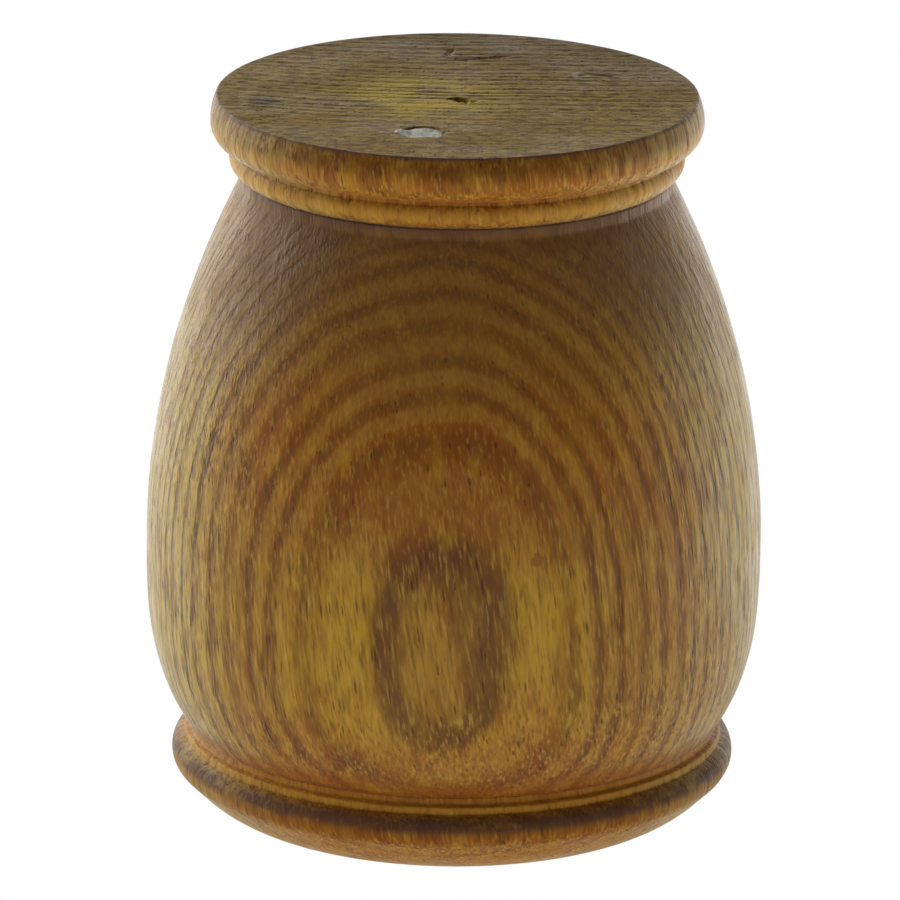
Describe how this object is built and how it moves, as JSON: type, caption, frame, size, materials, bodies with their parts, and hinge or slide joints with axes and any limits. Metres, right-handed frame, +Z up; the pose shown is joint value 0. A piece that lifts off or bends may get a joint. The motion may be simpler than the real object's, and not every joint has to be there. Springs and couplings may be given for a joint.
{
  "type": "hand shaker",
  "caption": "Turned wooden barrel-shaped hand shaker with a flanged flat end, a beaded foot ring and a sealed hollow that holds loose rattle beads.",
  "frame": {"origin": "centre of the foot's flat, on the surface that the shaker stands on", "axes": "+Z up along the turning axis towards the flanged flat end, -Y towards the side with the oval figure"},
  "size_m": [0.0618, 0.0618, 0.074],
  "materials": {
    "barrel_wood": "satin varnish over ring-porous wood, concentric oval figure on the front",
    "base_cap_wood": "satin varnish, dark patina on the upper side of the bead ring",
    "end_cap_wood": "satin varnish on the side, dull worn end grain on the flat top",
    "nail_steel": "dull grey, slightly corroded",
    "hole_filler": "dry wood stopping, matt",
    "bead_wood": "unvarnished, tumbled smooth"
  },
  "bodies": {
    "shaker": {"barrel": "barrel_wood", "base_cap": "base_cap_wood", "end_cap": "end_cap_wood", "front_nail": "nail_steel", "left_nail": "nail_steel", "back_nail": "nail_steel", "right_nail": "nail_steel", "left_hole_filler": "hole_filler", "back_hole_filler": "hole_filler", "right_hole_filler": "hole_filler"},
    "bead_01_body": {"bead_01": "bead_wood"},
    "bead_02_body": {"bead_02": "bead_wood"},
    "bead_03_body": {"bead_03": "bead_wood"},
    "bead_04_body": {"bead_04": "bead_wood"},
    "bead_05_body": {"bead_05": "bead_wood"},
    "bead_06_body": {"bead_06": "bead_wood"},
    "bead_07_body": {"bead_07": "bead_wood"},
    "bead_08_body": {"bead_08": "bead_wood"},
    "bead_09_body": {"bead_09": "bead_wood"},
    "bead_10_body": {"bead_10": "bead_wood"},
    "bead_11_body": {"bead_11": "bead_wood"},
    "bead_12_body": {"bead_12": "bead_wood"},
    "bead_13_body": {"bead_13": "bead_wood"},
    "bead_14_body": {"bead_14": "bead_wood"},
    "bead_15_body": {"bead_15": "bead_wood"},
    "bead_16_body": {"bead_16": "bead_wood"},
    "bead_17_body": {"bead_17": "bead_wood"},
    "bead_18_body": {"bead_18": "bead_wood"},
    "bead_19_body": {"bead_19": "bead_wood"}
  },
  "joints": [
    {"name": "bead_01_hop", "type": "slide", "parent": "shaker", "child": "bead_01_body", "axis": [0, 0, 1], "range_m": [0, 0.0438]},
    {"name": "bead_02_hop", "type": "slide", "parent": "shaker", "child": "bead_02_body", "axis": [0, 0, 1], "range_m": [0, 0.0446]},
    {"name": "bead_03_hop", "type": "slide", "parent": "shaker", "child": "bead_03_body", "axis": [0, 0, 1], "range_m": [0, 0.0438]},
    {"name": "bead_04_hop", "type": "slide", "parent": "shaker", "child": "bead_04_body", "axis": [0, 0, 1], "range_m": [0, 0.0446]},
    {"name": "bead_05_hop", "type": "slide", "parent": "shaker", "child": "bead_05_body", "axis": [0, 0, 1], "range_m": [0, 0.0448]},
    {"name": "bead_06_hop", "type": "slide", "parent": "shaker", "child": "bead_06_body", "axis": [0, 0, 1], "range_m": [0, 0.0448]},
    {"name": "bead_07_hop", "type": "slide", "parent": "shaker", "child": "bead_07_body", "axis": [0, 0, 1], "range_m": [0, 0.0446]},
    {"name": "bead_08_hop", "type": "slide", "parent": "shaker", "child": "bead_08_body", "axis": [0, 0, 1], "range_m": [0, 0.0438]},
    {"name": "bead_09_hop", "type": "slide", "parent": "shaker", "child": "bead_09_body", "axis": [0, 0, 1], "range_m": [0, 0.0448]},
    {"name": "bead_10_hop", "type": "slide", "parent": "shaker", "child": "bead_10_body", "axis": [0, 0, 1], "range_m": [0, 0.0448]},
    {"name": "bead_11_hop", "type": "slide", "parent": "shaker", "child": "bead_11_body", "axis": [0, 0, 1], "range_m": [0, 0.0448]},
    {"name": "bead_12_hop", "type": "slide", "parent": "shaker", "child": "bead_12_body", "axis": [0, 0, 1], "range_m": [0, 0.0438]},
    {"name": "bead_13_hop", "type": "slide", "parent": "shaker", "child": "bead_13_body", "axis": [0, 0, 1], "range_m": [0, 0.0446]},
    {"name": "bead_14_hop", "type": "slide", "parent": "shaker", "child": "bead_14_body", "axis": [0, 0, 1], "range_m": [0, 0.0448]},
    {"name": "bead_15_hop", "type": "slide", "parent": "shaker", "child": "bead_15_body", "axis": [0, 0, 1], "range_m": [0, 0.0448]},
    {"name": "bead_16_hop", "type": "slide", "parent": "shaker", "child": "bead_16_body", "axis": [0, 0, 1], "range_m": [0, 0.0446]},
    {"name": "bead_17_hop", "type": "slide", "parent": "shaker", "child": "bead_17_body", "axis": [0, 0, 1], "range_m": [0, 0.0438]},
    {"name": "bead_18_hop", "type": "slide", "parent": "shaker", "child": "bead_18_body", "axis": [0, 0, 1], "range_m": [0, 0.0446]},
    {"name": "bead_19_hop", "type": "slide", "parent": "shaker", "child": "bead_19_body", "axis": [0, 0, 1], "range_m": [0, 0.0438]}
  ]
}
